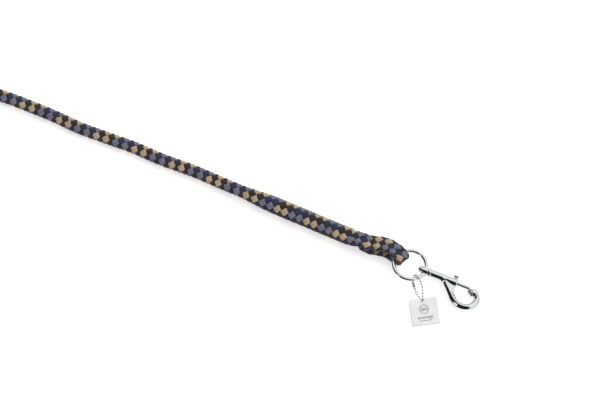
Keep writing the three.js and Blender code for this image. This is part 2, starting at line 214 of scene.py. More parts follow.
def arc(radius, centre_y, end, start, stop, z0, z1, count=14):
    """Half a turn at one end of the hank. end is 1 at the end near the splice and -1 at the far one."""
    turn = np.linspace(start, stop, count)
    z = z0 + (z1 - z0) * smooth_step(0.3, 0.9, np.linspace(0, 1, count))
    return np.stack([end * (HANK_HALF + radius * np.cos(turn)), centre_y + radius * np.sin(turn), z], axis=1)


def hank_route():
    """Two turns side by side and one on top of them, and the whipped end beside that."""
    half = math.pi / 2
    far_side, near_side = (half, -half), (-half, half)
    step_in = (OUTER_TURN_R - INNER_TURN_R) / 2
    climb = (UPPER_TURN_R - INNER_TURN_R) / 2
    turns = [
        arc(OUTER_TURN_R, 0, -1, *far_side, LOWER_Z, LOWER_Z),
        arc(OUTER_TURN_R - step_in, -step_in, 1, *near_side, LOWER_Z, LOWER_Z),
        arc(INNER_TURN_R, 0, -1, *far_side, LOWER_Z, LOWER_Z),
        arc(INNER_TURN_R + climb, climb, 1, *near_side, LOWER_Z, UPPER_Z),
        arc(UPPER_TURN_R, 0, -1, *far_side, UPPER_Z, UPPER_Z),
    ]
    lead_in = np.array([[102.6, OUTER_TURN_R, LOWER_Z], [HANK_HALF + 14, OUTER_TURN_R, LOWER_Z]])
    end = np.array([
        [0, -UPPER_TURN_R, UPPER_Z], [30, -UPPER_TURN_R, 21.1], [WHIPPING_START, -UPPER_TURN_R, WHIPPING_Z],
        [WHIPPING_END + 0.6, -UPPER_TURN_R, WHIPPING_Z],
    ])
    line = [lead_in[0]]
    for part in (lead_in[1:], *turns, end):
        for point in part:
            gap = np.linalg.norm(point - line[-1])
            if gap > 24:
                line += list(spaced(np.array([line[-1], point]), 18)[1:-1])
            if gap > 1e-6:
                line.append(point)
    return np.array(line) + HANK_CENTRE


STEP = 1.45


def rope_line():
    """The whole rope from its buried end to its whipped end, with the splice's mouth and back end."""
    line = softened(through([*eye_route(), *run_route(), *hank_route()], STEP), 3)
    along = measured(line)
    mouth = np.flatnonzero((line[:, 2] > 12) & (line[:, 0] < THROAT_X + 0.6))[0]
    back = mouth + np.flatnonzero(line[mouth:, 0] < along_splice(SPLICE_LENGTH)[0])[0]
    return line, along - along[mouth], mouth, back


# ---- camera ----
def camera():
    """A long lens from the near side of the snap, looking down at the seen end of the rope."""
    azimuth, elevation, distance = math.radians(22.1), math.radians(62), 5.5
    data = bpy.data.cameras.new("camera")
    data.sensor_width, data.lens = 36, 300
    data.clip_end = 60
    made = bpy.data.objects.new("camera", data)
    bpy.context.scene.collection.objects.link(made)
    back = Vector((math.sin(azimuth) * math.cos(elevation), -math.cos(azimuth) * math.cos(elevation),
                   math.sin(elevation)))
    aim = Vector((-0.0795, 0.0220, 0.0100))
    made.location = aim + back * distance
    made.rotation_mode = "QUATERNION"
    made.rotation_quaternion = (-back).to_track_quat("-Z", "Y")
    bpy.context.scene.camera = made


# ---- materials ----
def linear(*levels):
    """A colour given as 0 to 255 display levels."""
    return tuple(((c / 255 + 0.055) / 1.055) ** 2.4 if c > 10 else c / 255 / 12.92 for c in levels) + (1.0,)


class Nodes:
    """The nodes of a material or the world, made in the order that they are wired."""

    def __init__(self, name, world=None):
        self.material = world or bpy.data.materials.new(name)
        self.material.use_nodes = True
        self.tree = self.material.node_tree
        self.shader = self.tree.nodes["Background" if world else "Principled BSDF"]

    def add(self, kind, inputs=(), **settings):
        node = self.tree.nodes.new("ShaderNode" + kind)
        for key, value in settings.items():
            setattr(node, key, value)
        for key, value in dict(inputs).items():
            if isinstance(value, bpy.types.NodeSocket):
                self.tree.links.new(value, node.inputs[key])
            else:
                node.inputs[key].default_value = value
        return node

    def to_shader(self, **sockets):
        for key, value in sockets.items():
            target = self.shader.inputs[key.replace("_", " ")]
            if isinstance(value, bpy.types.NodeSocket):
                self.tree.links.new(value, target)
            else:
                target.default_value = value

    def stretched(self, vector, scale):
        return self.add("Mapping", {"Vector": vector, "Scale": scale}).outputs["Vector"]

    def sum_of(self, operation, a, b):
        return self.add("Math", {0: a, 1: b}, operation=operation).outputs["Value"]

    def between(self, value, low, high):
        """0 below low and 1 above high, or the other way round if low is the larger."""
        flip = low > high
        ends = {"Value": value, "From Min": min(low, high), "From Max": max(low, high),
                "To Min": float(flip), "To Max": float(not flip)}
        return self.add("MapRange", ends, interpolation_type="SMOOTHSTEP").outputs["Result"]

    def ramp(self, factor, stops):
        node = self.add("ValToRGB", {"Fac": factor})
        marks = node.color_ramp.elements
        while len(marks) < len(stops):
            marks.new(0.5)
        for mark, (at, colour) in zip(marks, stops):
            mark.position, mark.color = at, colour
        return node.outputs["Color"]


def scaled(colour, factor):
    return tuple(min(1.0, c * factor) for c in colour[:3]) + (1.0,)


def fibre(name, colour, contrast=0.3):
    """Spun fibre: fine filaments run along each strand, heathered in tone, with a soft nap."""
    n = Nodes(name)
    uv = n.add("TexCoord").outputs["UV"]
    filaments = n.add("TexNoise", {"Vector": n.stretched(uv, (0.55, 60, 1)), "Scale": 1.0, "Detail": 4.0,
                                   "Roughness": 0.7}).outputs["Fac"]
    heather = n.add("TexNoise", {"Vector": n.stretched(uv, (0.22, 5, 1)), "Scale": 1.0, "Detail": 5.0,
                                 "Roughness": 0.65}).outputs["Fac"]
    yarns = n.add("TexWave", {"Vector": n.stretched(uv, (0.02, 4.5, 1)), "Scale": 1.0, "Distortion": 0.8,
                              "Detail": 1.0}, wave_type="BANDS", bands_direction="Y").outputs["Fac"]
    tone = n.add("Mix", {"Factor": 0.45, "A": heather, "B": filaments}, data_type="FLOAT").outputs["Result"]
    base = n.ramp(tone, [(0.28, scaled(colour, 1 - contrast)), (0.5, colour),
                         (0.72, scaled(colour, 1 + contrast))])
    relief = n.add("Mix", {"Factor": 0.5, "A": yarns, "B": filaments}, data_type="FLOAT").outputs["Result"]
    bump = n.add("Bump", {"Height": relief, "Strength": 0.55, "Distance": 0.0005}).outputs["Normal"]
    n.to_shader(Base_Color=base, Roughness=0.88, Normal=bump, Sheen_Weight=0.12, Sheen_Roughness=0.5,
                Specular_IOR_Level=0.2)
    return n.material


def polished(name, colour, roughness, ripple=0.25, scratch=900.0):
    """Chrome plate on a hand-polished casting: faint ripples, fine scratches and smears in the gloss."""
    n = Nodes(name)
    place = n.add("TexCoord").outputs["Object"]
    waves = n.add("TexNoise", {"Vector": place, "Scale": 160.0, "Detail": 2.0}).outputs["Fac"]
    smears = n.add("TexNoise", {"Vector": n.stretched(place, (1, 3, 2)), "Scale": scratch, "Detail": 6.0,
                                "Roughness": 0.7}).outputs["Fac"]
    gloss = n.add("MapRange", {"Value": smears, "From Min": 0.3, "From Max": 0.75,
                               "To Min": roughness * 0.7, "To Max": roughness * 1.6}).outputs["Result"]
    tone = n.ramp(smears, [(0.3, scaled(colour, 0.97)), (0.7, colour)])
    bump = n.add("Bump", {"Height": waves, "Strength": ripple, "Distance": 0.0002}).outputs["Normal"]
    n.to_shader(Base_Color=tone, Metallic=1.0, Roughness=gloss, Normal=bump)
    return n.material


def brushed(name, colour, roughness, direction):
    """Rolled sheet with brush lines along one direction."""
    n = Nodes(name)
    place = n.add("TexCoord").outputs["Object"]
    turned = n.add("Mapping", {"Vector": place, "Rotation": (0, 0, -direction),
                               "Scale": (60, 5200, 60)}).outputs["Vector"]
    lines = n.add("TexNoise", {"Vector": turned, "Scale": 1.0, "Detail": 5.0,
                               "Roughness": 0.75}).outputs["Fac"]
    clouds = n.add("TexNoise", {"Vector": place, "Scale": 90.0, "Detail": 3.0}).outputs["Fac"]
    tone = n.ramp(lines, [(0.25, scaled(colour, 0.93)), (0.75, scaled(colour, 1.03))])
    gloss = n.add("MapRange", {"Value": clouds, "From Min": 0.3, "From Max": 0.7,
                               "To Min": roughness * 0.85, "To Max": roughness * 1.2}).outputs["Result"]
    bump = n.add("Bump", {"Height": lines, "Strength": 0.15, "Distance": 0.00008}).outputs["Normal"]
    n.to_shader(Base_Color=tone, Metallic=1.0, Roughness=gloss, Normal=bump)
    return n.material


GOLD = fibre("fibre_gold", linear(202, 175, 145), 0.28)
LAVENDER = fibre("fibre_lavender", linear(128, 126, 147), 0.28)
NAVY = fibre("fibre_navy", linear(54, 58, 77), 0.35)
DARK = fibre("fibre_dark", linear(56, 52, 55), 0.35)
STRAND_MATERIALS = [GOLD, LAVENDER, NAVY, DARK]
CHROME = polished("chrome_cast", (0.74, 0.745, 0.75, 1), 0.06)
CHROME_TURNED = polished("chrome_turned", (0.7, 0.705, 0.71, 1), 0.09, 0.1)


# ---- braid ----
SIDES = 10
# Along the rope from the splice's mouth, in mm: half thickness and half width of the middle of the wall,
# depth of the weave, strand thickness, braid pitch, how far a strand turns towards the axis where it shows,
# and the width of the light strands against an even share.
BUILD = np.array([
    # at,   thick, wide, weave, strand, pitch, axial, light share
    [-230, 3.3, 3.3, 1.1, 2.3, 40.0, 0.04, 0.95],
    [-128, 3.3, 3.3, 1.1, 2.3, 40.0, 0.04, 0.95],
    [-110, 2.0, 6.2, 0.8, 1.7, 42.0, 0.03, 0.95],
    [-98, 1.7, 7.0, 0.7, 1.5, 42.0, 0.02, 0.95],
    [-82, 1.7, 7.0, 0.7, 1.5, 42.0, 0.02, 0.95],
    [-72, 1.6, 6.5, 0.65, 1.25, 42.0, 0.02, 0.95],
    [-38, 1.6, 6.5, 0.65, 1.25, 42.0, 0.02, 0.95],
    [-28, 1.7, 7.0, 0.7, 1.5, 42.0, 0.02, 0.95],
    [-8, 1.7, 7.0, 0.7, 1.5, 42.0, 0.02, 0.95],
    [2, 3.2, 7.2, 0.9, 1.8, 38.0, 0.01, 0.95],
    [16, 6.8, 7.8, 1.05, 2.2, 36.0, 0.01, 0.92],
    [24, 7.6, 7.7, 1.05, 2.2, 35.6, 0.01, 0.92],
    [108, 7.6, 7.7, 1.05, 2.2, 35.6, 0.02, 0.92],
    [142, 4.15, 4.15, 1.4, 2.9, 45.8, 0.06, 1.02],
    [2000, 4.15, 4.15, 1.4, 2.9, 45.8, 0.06, 1.02],
])
FLOAT = 1.7  # how long a strand stays up before it dives
ROW = math.radians(45)  # the light row nearest the top stands this far round towards -Y
FIRST_GOLD = 20.0  # the pair of gold strands crosses that row here


def build_at(s):
    return [np.interp(s, BUILD[:, 0], BUILD[:, k]) for k in range(1, 8)]


def sections(line, mouth):
    """Each point's tangent, thickness direction and width direction. Past the mouth the first stays upright;
    round the eye it turns with the braid."""
    tangent = unit(np.gradient(line, axis=0))
    up = np.zeros_like(line)
    for i in range(mouth, len(line)):
        up[i] = np.array([0, 0, 1]) - tangent[i][2] * tangent[i]
    up[mouth:] = unit(up[mouth:])
    for i in range(mouth - 1, -1, -1):
        up[i] = unit(up[i + 1] - up[i + 1].dot(tangent[i]) * tangent[i])
    return tangent, up, np.cross(up, tangent)


def strand(line, frames, s, turns, light, number):
    """The centre line of one strand and the direction it faces."""
    _, up, side = frames
    thick, wide, weave, _, _, axial, _ = build_at(s)
    quarter = math.pi / 2
    row_angle = quarter * (number + turns) if light else quarter * (number - turns)
    share = ROW + row_angle - axial * np.sin(4 * row_angle) * (1 if light else -1)
    # The section is two half rounds joined by flats, and the strand goes round it at an even pace.
    half = np.maximum(wide - thick, 0)
    round_part = math.pi * thick
    girth = 4 * half + 2 * round_part
    at = np.mod(share / (2 * math.pi), 1) * girth
    left = at > girth / 2
    mirrored = np.where(left, girth - at, at)
    turn = np.clip((mirrored - half) / thick, 0, math.pi)
    across = np.where(mirrored < half, mirrored, np.where(turn < math.pi, half, girth / 2 - mirrored))
    across = (across + thick * np.sin(turn)) * np.where(left, -1, 1)
    out = np.cos(turn)[:, None] * up + (np.sin(turn) * np.where(left, -1, 1))[:, None] * side
    lift = weave * np.tanh(FLOAT * np.cos(4 * row_angle)) / math.tanh(FLOAT) * (1 if light else -1)
    centre = line + (thick * np.cos(turn))[:, None] * up + across[:, None] * side + lift[:, None] * out
    return centre, out


def strand_width(s):
    thick, wide, weave, _, pitch, _, _ = build_at(s)
    girth = 2 * math.pi * (thick + weave) + 4 * np.maximum(wide - thick, 0)
    return 0.98 * girth / 4 * pitch / np.hypot(girth, pitch)


def ribbon(centre, out, width, thickness, first_index):
    """A closed tube with a flat oval section that faces out: its points, its faces and its corners' uv."""
    along = unit(np.gradient(centre, axis=0))
    across = unit(np.cross(along, out))
    face = np.cross(across, along)
    angle = 2 * math.pi * np.arange(SIDES) / SIDES
    cos, sin = np.cos(angle), np.sin(angle)
    flat = np.sign(cos) * np.abs(cos) ** 0.6
    tall = np.sign(sin) * np.abs(sin) ** 0.7
    points = (centre[:, None] + (width / 2)[:, None, None] * flat[None, :, None] * across[:, None]
              + (thickness / 2)[:, None, None] * tall[None, :, None] * face[:, None]).reshape(-1, 3)
    n = len(centre)
    i, k = np.meshgrid(np.arange(n - 1), np.arange(SIDES), indexing="ij")
    j = (k + 1) % SIDES
    here, ahead = i * SIDES, (i + 1) * SIDES
    quads = np.stack([here + k, here + j, ahead + j, ahead + k], -1).reshape(-1, 4)
    length = measured(centre)
    v0, v1 = k / SIDES, (k + 1) / SIDES
    uv = np.stack([length[i], v0, length[i], v1, length[i + 1], v1, length[i + 1], v0], -1).reshape(-1, 4, 2)
    ends = [list(range(SIDES))[::-1], list(range((n - 1) * SIDES, n * SIDES))]
    faces = [*quads.tolist(), *ends]
    flat_uv = np.concatenate([uv.reshape(-1, 2), np.zeros((2 * SIDES, 2))])
    return points, [[c + first_index for c in f] for f in faces], flat_uv


def turns_of_braid(s):
    """How many diamonds the braid has made at s, counted from the first gold pair."""
    fine = np.linspace(s[0], s[-1], 6000)
    rate = 4 / build_at(fine)[4]
    total = np.concatenate([[0], np.cumsum((rate[1:] + rate[:-1]) / 2 * np.diff(fine))])
    return np.interp(s, fine, total) - np.interp(FIRST_GOLD, fine, total)


def braid(name, line, s, mouth, first, last, body, replaces, shrink=None):
    """The strands of the rope between two places on its line, as one mesh."""
    frames = sections(line, mouth)
    turns = turns_of_braid(s)
    part = slice(first, last + 1)
    some = s[part]
    thickness = build_at(some)[3]
    width = strand_width(some)
    if shrink is not None:
        thickness, width = thickness * shrink[part], width * shrink[part]
    points, faces, uvs, which = [], [], [], []
    count = 0
    for light in (True, False):
        for number in range(4):
            cut = tuple(f[part] for f in frames)
            centre, out = strand(line[part], cut, some, turns[part], light, number)
            if shrink is not None:
                centre = line[part] + (centre - line[part]) * shrink[part][:, None]
            share = build_at(some)[6]
            share = share if light else 2 - share
            p, f, uv = ribbon(centre, out, width * share, thickness, count)
            outer = number in (0, 3)
            material = (0 if outer else 1) if light else (3 if outer else 2)
            points.append(p)
            faces += f
            uvs.append(uv + [number * 37.0 + 160.0 * light, number * 3.0])
            which += [material] * len(f)
            count += len(p)
    return piece(name, np.vstack(points) * MM, faces, STRAND_MATERIALS, body, replaces, which,
                 np.vstack(uvs))


def rope():
    line, s, mouth, back = rope_line()
    lower_mouth = np.flatnonzero(line[:mouth, 0] < THROAT_X)[-1]
    # The whipping squeezes the far end, and the splice's strands pinch the tail where it goes in.
    squeeze = 1 - 0.1 * smooth_step(s[-1] - 30, s[-1] - 22, s)
    inwards = s[lower_mouth] - s
    squeeze -= 0.42 * smooth_step(-7, 4, inwards) * (1 - smooth_step(12, 26, inwards))
    braid("buried_tail_braid", line, s, mouth, 0, lower_mouth, "root", ["buried_tail"], squeeze)
    braid("eye_braid", line, s, mouth, lower_mouth, mouth, "root", ["eye_loop"], squeeze)
    braid("splice_braid", line, s, mouth, mouth, back, "root", ["splice_sleeve"])
    cord = braid("rope_braid", line, s, mouth, back, len(line) - 1, "root", ["rope_run", "rope_hank"],
                 squeeze)
    return cord, line[back:]


# ---- solids from a distance field ----
def soft_min(a, b, k):
    """The union of two solids, with a fillet about k wide."""
    h = np.clip(0.5 + 0.5 * (b - a) / k, 0, 1)
    return b + (a - b) * h - k * h * (1 - h)


def soft_cut(a, b, k):
    """Solid a with solid b cut out of it, and the edge eased."""
    return -soft_min(-a, b, k)


def round_block(*sides, ease):
    """A distance from how far a point is past each pair of sides, with eased edges."""
    q = np.stack(sides) + ease
    return np.minimum(q.max(axis=0), 0) + np.linalg.norm(np.maximum(q, 0), axis=0) - ease


def turned_block(x, radial, start, end, radius, ease):
    return round_block(np.abs(x - (start + end) / 2) - (end - start) / 2, radial - radius, ease=ease)


def ellipsoid(p, centre, radii):
    q = (p - centre) / radii
    k0 = np.linalg.norm(q, axis=1)
    k1 = np.linalg.norm(q / radii, axis=1)
    return k0 * (k0 - 1) / np.maximum(k1, 1e-9)


def to_line(p, line, values):
    """Each point's distance to a polyline, and the value that the line has there."""
    best, found = np.full(len(p), 1e9), np.zeros(len(p))
    for a, b, va, vb in zip(line[:-1], line[1:], values[:-1], values[1:]):
        ab = b - a
        t = np.clip((p - a) @ ab / (ab @ ab), 0, 1)
        d = ((p - a - t[:, None] * ab) ** 2).sum(axis=1)
        near = d < best
        best = np.where(near, d, best)
        found = np.where(near, va + t * (vb - va), found)
    return np.sqrt(best), found


def to_outline(p, corners):
    """Signed distance to a closed outline in the plane, negative inside."""
    closed = np.vstack([corners, corners[:1]])
    distance, _ = to_line(p, closed, np.zeros(len(closed)))
    inside = np.zeros(len(p), bool)
    for (ax, ay), (bx, by) in zip(closed[:-1], closed[1:]):
        spans = (ay > p[:, 1]) != (by > p[:, 1])
        crossing = ax + (p[:, 1] - ay) * (bx - ax) / (by - ay if by != ay else 1e-12)
        inside ^= spans & (p[:, 0] < crossing)
    return np.where(inside, -distance, distance)


def skin(distance, low, high, step):
    """Points and quads on the surface where distance is zero, by surface nets and then Newton steps."""
    low = np.array(low, float)
    counts = np.ceil((np.array(high) - low) / step).astype(int) + 1
    grid = np.stack(np.meshgrid(*[low[k] + step * np.arange(counts[k]) for k in range(3)], indexing="ij"), -1)
    parts = np.array_split(grid.reshape(-1, 3), 12)
    value = np.concatenate([distance(part) for part in parts]).reshape(counts)
    cells = counts - 1
    total, number = np.zeros((*cells, 3)), np.zeros(cells)
    edges = []
    for axis in range(3):
        lower, upper = (np.take(value, range(k, counts[axis] - 1 + k), axis) for k in (0, 1))
        crosses = (lower < 0) != (upper < 0)
        at = np.argwhere(crosses)
        a, b = lower[crosses], upper[crosses]
        point = low + step * at
        point[:, axis] += step * a / (a - b)
        u, v = [k for k in range(3) if k != axis]
        inner = (at[:, u] > 0) & (at[:, v] > 0) & (at[:, u] < cells[u]) & (at[:, v] < cells[v])
        at, point, a = at[inner], point[inner], a[inner]
        ring = []
        for du, dv in ((1, 1), (0, 1), (0, 0), (1, 0)):
            cell = at.copy()
            cell[:, u] -= du
            cell[:, v] -= dv
            ring.append(cell)
            np.add.at(total, tuple(cell.T), point)
            np.add.at(number, tuple(cell.T), 1)
        edges.append((ring, (a < 0) == (axis != 1)))
    used = number > 0
    index = np.full(cells, -1)
    index[used] = np.arange(used.sum())
    points = total[used] / number[used][:, None]
    quads = []
    for ring, forward in edges:
        corner = np.stack([index[tuple(cell.T)] for cell in ring], axis=1)
        quads.append(np.where(forward[:, None], corner, corner[:, ::-1]))
    quads = np.vstack(quads)
    points, normals = settle(distance, points, step, 4)
    for _ in range(2):
        total, number = np.zeros_like(points), np.zeros(len(points))
        for k in range(4):
            np.add.at(total, quads[:, k], points[quads[:, (k + 1) % 4]] + points[quads[:, (k - 1) % 4]])
            np.add.at(number, quads[:, k], 2)
        points, normals = settle(distance, (points + total / number[:, None]) / 2, step, 3)
    return points, quads, normals


def settle(distance, points, step, rounds):
    """Points moved onto the surface, and the directions that it faces there."""
    small = 0.01
    for _ in range(rounds):
        here = distance(points)
        slope = np.stack([distance(points + small * axis) - here for axis in np.eye(3)], axis=1) / small
        size = np.maximum((slope**2).sum(axis=1), 0.05)
        move = here[:, None] * slope / size[:, None]
        length = np.linalg.norm(move, axis=1, keepdims=True)
        points = points - move * np.minimum(1, 0.5 * step / np.maximum(length, 1e-9))
    return points, slope / np.maximum(np.linalg.norm(slope, axis=1, keepdims=True), 1e-9)


def cast_piece(name, distance, low, high, step, matrix, material, body, replaces):
    points, quads, normals = skin(distance, low, high, step)
    turned = normals @ np.array(matrix)[:3, :3].T
    return piece(name, placed(points, matrix), quads.tolist(), [material], body, replaces, None, None,
                 turned)


# ---- ring and snap ----
HOOK_LINE = [
    [37, -0.5], [42.8, -4.2], [53.1, -14.3], [59.3, -20.1], [66.8, -23.6], [75, -22.4], [80.6, -17.8],
    [82.7, -11.6], [81.3, -6.4], [77.4, -3.2],
]


def ring_distance(p):
    x, y, z = p.T
    wire = np.hypot(np.hypot(x, y) - RING_MEAN_R, z) - RING_WIRE_R
    boss = turned_block(x, np.hypot(y, z), 13.6, COLLAR_BACK - 0.4, 4.3, 0.9)
    hole = turned_block(x, np.hypot(y, z), 10, 26, PIN_R + 0.3, 0.1)
    return soft_cut(soft_min(wire, boss, 1.6), hole, 0.25)


def swivel_ring():
    cast_piece("swivel_ring_cast", ring_distance, (-21, -21, -5), (22.4, 21, 5), 0.34, RING, CHROME, "ring",
               ["swivel_ring"])


def hook_shape():
    bend = np.array([[x, y, 0] for x, y in HOOK_LINE], float)
    line = through(bend, 1.6)
    share = measured(line) / measured(line)[-1]
    radius = np.interp(share, [0, 0.12, 0.35, 0.6, 0.8, 1],
                       [2.6, 3.2, HOOK_R - 0.1, HOOK_R + 0.1, HOOK_R, 3.6])
    return line[:, :2], radius


HOOK, HOOK_RADIUS = hook_shape()
WEB = np.array([[38, -0.5], [55.0, -0.5], [55.4, -5.4], [55.2, -8.6], [55.9, -11.4], [58.2, -14.6],
                [60.5, -17.0], [57, -18.6]])


def snap_distance(p):
    x, y, z = p.T
    radial = np.hypot(y, z)
    barrel = turned_block(x, radial, 24.6, BARREL_FRONT, BARREL_R, 0.9)
    collar = turned_block(x, radial, COLLAR_BACK, 24.7, COLLAR_R, 0.7)
    body = soft_min(barrel, collar, 0.5)
    reach, radius = to_line(p[:, :2], HOOK, HOOK_RADIUS)
    ridged = (reach**1.55 + np.abs(z) ** 1.55) ** (1 / 1.55)
    body = soft_min(body, ridged - radius, 2.6)
    web = round_block(to_outline(p[:, :2], WEB), np.abs(z) - 2.8, ease=0.9)
    body = soft_min(body, web, 1.6)
    body = soft_min(body, ellipsoid(p, [75.4, -3.3, 0], [6, 4.9, 4.6]), 1.8)
    body = soft_cut(body, turned_block(x, radial, BORE_BACK, 72, BORE_R, 0.2), 0.3)
    body = soft_cut(body, ellipsoid(p, [72.6, -6.6, 2.4], [3.5, 4, 3.3]), 0.6)
    middle, half = (SLOT_FRONT + SLOT_BACK) / 2, (SLOT_FRONT - SLOT_BACK) / 2
    slot = round_block(np.abs(x - middle) - half, np.abs(y - 4) - 4, np.abs(z) - 1.45, ease=0.6)
    body = soft_cut(body, slot, 0.35)
    return soft_cut(body, turned_block(x, radial, 20, 24.5, PIN_R + 0.3, 0.1), 0.2)


def snap_body():
    cast_piece("snap_body_cast", snap_distance, (21, -28.5, -6), (87.5, 6, 6), 0.4, SNAP, CHROME, "snap",
               ["snap_body"])


def lathe(profile, sides, wobble=None):
    """Points and faces of a solid turned about X, from [x, radius] pairs that start and end on the axis."""
    profile = np.array(profile, float)
    angle = 2 * math.pi * np.arange(sides) / sides
    middle = profile[1:-1]
    radius = middle[:, 1][:, None] * np.ones(sides)
    if wobble is not None:
        radius = radius * wobble(middle[:, 0][:, None], angle[None])
    rings = np.stack([middle[:, 0][:, None] * np.ones(sides), radius * np.cos(angle),
                      radius * np.sin(angle)], -1)
    points = np.vstack([[profile[0, 0], 0, 0], rings.reshape(-1, 3), [profile[-1, 0], 0, 0]])
    count, last = len(middle), len(points) - 1
    faces = []
    for k in range(sides):
        j = (k + 1) % sides
        faces.append([0, 1 + j, 1 + k])
        faces.append([last, last - sides + k, last - sides + j])
        for i in range(count - 1):
            a, b = 1 + i * sides, 1 + (i + 1) * sides
            faces.append([a + k, a + j, b + j, b + k])
    return points, faces


def eased(profile, ease, count=5):
    """A profile with its inner corners rounded off."""
    out = [profile[0]]
    for a, b, c in zip(profile[:-2], profile[1:-1], profile[2:]):
        a, b, c = (np.array(v, float) for v in (a, b, c))
        back, ahead = np.linalg.norm(a - b), np.linalg.norm(c - b)
        r = min(ease, 0.45 * back, 0.45 * ahead)
        start, end = b + (a - b) * r / back, b + (c - b) * r / ahead
        for t in np.linspace(0, 1, count):
            out.append(list((1 - t) ** 2 * start + 2 * t * (1 - t) * b + t**2 * end))
    return [*out, profile[-1]]


def turned_piece(name, profile, ease, matrix, material, body, replaces, sides=48, wobble=None):
    points, faces = lathe(eased(profile, ease), sides, wobble)
    return piece(name, placed(points, matrix), faces, [material], body, replaces)


def swivel_pin():
    """A rivet: its domed head stands inside the ring and its shank turns in the collar."""
    foot, depth, head_r = 12.9, 3.3, 3.8
    dome = [[foot - depth * math.cos(t), head_r * math.sin(t)] for t in np.linspace(0, 1.5, 10)]
    profile = [*dome, [13.3, 3.7], [13.3, PIN_R], [24.2, PIN_R], [24.2, 0]]
    turned_piece("swivel_pin_rivet", profile, 0.25, SNAP, CHROME_TURNED, "snap", ["swivel_pin"])


def bolt():
    nose = [[BOLT_TIP - 1.6 + 1.6 * math.sin(t), BOLT_R * math.cos(t)]
            for t in np.linspace(0.1, math.pi / 2, 9)]
    profile = [[BOLT_BACK, 0], [BOLT_BACK, BOLT_R], [BOLT_TIP - 1.7, BOLT_R], *nose[:-1], [BOLT_TIP, 0]]
    turned_piece("bolt_turned", profile, 0.3, SNAP, CHROME_TURNED, "bolt", ["bolt"])


def thumb_knob():
    """A dished button on a stem, with fine grip notches round its rim."""
    upright = SNAP @ Matrix.Translation((KNOB_X * MM, 0, 0)) @ Matrix.Rotation(math.pi / 2, 4, "Z")
    profile = [[0.3, 0], [0.3, 1.1], [5.7, 1.1], [6.2, 2.6], [6.5, 3.4], [7.2, 3.5], [7.9, 3.3], [8.3, 2.6],
               [8.05, 1.4], [7.9, 0]]

    def notches(x, angle):
        return 1 - 0.035 * (0.5 + 0.5 * np.cos(20 * angle)) * ((x > 6.4) & (x < 8.0))

    turned_piece("thumb_knob_turned", profile, 0.25, upright, CHROME_TURNED, "bolt",
                 ["thumb_knob"], 80, notches)


def rod(centre, radius, sides=10):
    """A round tube along a line, closed at its ends, in whatever units the line has."""
    along = unit(np.gradient(centre, axis=0))
    side = np.cross(along, [0, 0, 1.0])
    side[np.linalg.norm(side, axis=1) < 1e-6] = [0, 1, 0]
    side = unit(side)
    up = np.cross(side, along)
    angle = 2 * math.pi * np.arange(sides) / sides
    points = (centre[:, None] + radius * np.cos(angle)[None, :, None] * side[:, None]
              + radius * np.sin(angle)[None, :, None] * up[:, None]).reshape(-1, 3)
    n = len(centre)
    faces = []
    for i in range(n - 1):
        for k in range(sides):
            j = (k + 1) % sides
            faces.append([i * sides + k, (i + 1) * sides + k, (i + 1) * sides + j, i * sides + j])
    return points, [*faces, list(range(sides)), list(range((n - 1) * sides, n * sides))[::-1]]


def helix(start, end, radius, turns, per_turn=28):
    angle = np.linspace(0, 2 * math.pi * turns, int(turns * per_turn) + 1)
    along = np.linspace(start, end, len(angle))
    return np.stack([along, radius * np.cos(angle), radius * np.sin(angle)], axis=1)


STEEL = polished("spring_wire", (0.66, 0.67, 0.69, 1), 0.22, 0.1)


def bolt_spring():
    start, end, travel = BORE_BACK + 0.7, BOLT_BACK - 0.7, 12.5
    points, faces = rod(helix(start, end, 1.75, 8), 0.32)
    made = piece("bolt_spring_coil", placed(points, SNAP), faces, [STEEL], "snap",
                 ["bolt_spring"])
    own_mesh(made)


# ---- ball chain and tag ----
BEAD_R = 1.2
CHAIN_METAL = polished("chain_nickel", (0.62, 0.625, 0.63, 1), 0.14, 0.1)


def bead_place(number):
    """A bead's centre, the direction of its link and how far the link reaches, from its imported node."""
    node = frame["nodes"][f"chain_bead_{number:02d}"]
    co = np.array([v.co for v in node.data.vertices], float) / MM
    gap = np.linalg.norm(co[:, None] - co[None], axis=2)
    a, b = np.unravel_index(gap.argmax(), gap.shape)
    axis = unit(co[b] - co[a])
    rough = co - co[a]
    off_axis = np.linalg.norm(rough - (rough @ axis)[:, None] * axis, axis=1)
    ball = co[off_axis > 0.55]
    centre = (ball.min(axis=0) + ball.max(axis=0)) / 2 if len(ball) < 8 else ball.mean(axis=0)
    far = np.linalg.norm(co - centre, axis=1)
    tip = co[far > far.max() - 0.05].mean(axis=0)
    return centre, unit(tip - centre), float(far.max())


def aimed(centre, direction):
    turn = Vector((1, 0, 0)).rotation_difference(Vector(direction)).to_matrix().to_4x4()
    return Matrix.Translation(Vector(centre) * MM) @ turn


def ball_chain():
    """Hollow pressed balls, each with a rolled lip where its dumbbell link comes out."""
    count = sum(name.startswith("chain_bead_") for name in frame["nodes"])
    for number in range(1, count + 1):
        centre, direction, reach = bead_place(number)
        lip = 0.48
        ball = [[BEAD_R * math.cos(t), BEAD_R * math.sin(t)] for t in np.linspace(math.pi - 0.42, 0.42, 13)]
        profile = [[-BEAD_R + 0.22, 0], [-BEAD_R + 0.16, lip - 0.12], *ball, [BEAD_R - 0.2, 0.33],
                   [reach - 0.1, 0.33], [reach, 0.2], [reach, 0]]
        points, faces = lathe(profile, 24)
        piece(f"chain_ball_{number:02d}", placed(points, aimed(centre, direction)), faces, [CHAIN_METAL],
              "chain", [f"chain_bead_{number:02d}"])


